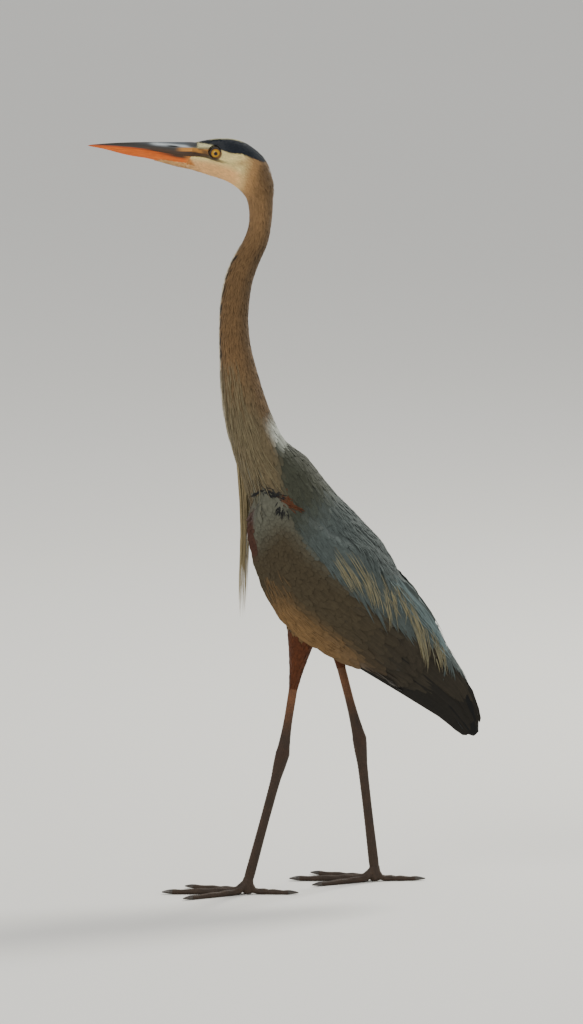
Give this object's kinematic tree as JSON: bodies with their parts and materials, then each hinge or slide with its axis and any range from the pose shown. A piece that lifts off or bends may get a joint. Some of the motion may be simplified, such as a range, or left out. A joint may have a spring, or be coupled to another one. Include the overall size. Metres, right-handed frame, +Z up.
{
  "type": "great blue heron",
  "caption": "Life-size great blue heron in mid-stride: neck raised in a gentle S, level dagger bill, long folded wings on a sloping body, and long thin legs with spread toes.",
  "frame": {"origin": "on the floor, in the middle of the bird's width and half way between its farthest front and rear points, which are the tip of the bill and the tip of the folded wings", "axes": "+Z up, -X the way the bird faces, -Y the bird's left side"},
  "size_m": [0.5193, 0.187, 1.0042],
  "materials": {
    "slate_plumage": "matte feathers",
    "neck_plumage": "matte feathers",
    "face_plumage": "short matte feathers",
    "chestnut_plumage": "matte feathers",
    "flight_feathers": "faint sheen",
    "pale_plumes": "loose plumes",
    "bill_horn": "satin horn",
    "bill_yellow": "satin horn",
    "leg_scales": "scaly skin",
    "claw_horn": "smooth horn",
    "eye_yellow": "wet gloss"
  },
  "bodies": {
    "root": {"bill_lower": "bill_yellow", "bill_upper": "bill_horn", "breast_plumes": "pale_plumes", "claw_left_hind": "claw_horn", "claw_left_inner": "claw_horn", "claw_left_middle": "claw_horn", "claw_left_outer": "claw_horn", "claw_right_hind": "claw_horn", "claw_right_inner": "claw_horn", "claw_right_middle": "claw_horn", "claw_right_outer": "claw_horn", "eye_left": "eye_yellow", "eye_right": "eye_yellow", "foot_left": "leg_scales", "foot_right": "leg_scales", "head": "face_plumage", "neck_lower": "neck_plumage", "neck_middle": "neck_plumage", "neck_upper": "neck_plumage", "primaries_left": "flight_feathers", "primaries_right": "flight_feathers", "shank_left": "leg_scales", "shank_right": "leg_scales", "tail": "flight_feathers", "tarsus_left": "leg_scales", "tarsus_right": "leg_scales", "thigh_left": "chestnut_plumage", "thigh_right": "chestnut_plumage", "trunk": "slate_plumage", "wing_left": "slate_plumage", "wing_right": "slate_plumage"}
  },
  "joints": []
}
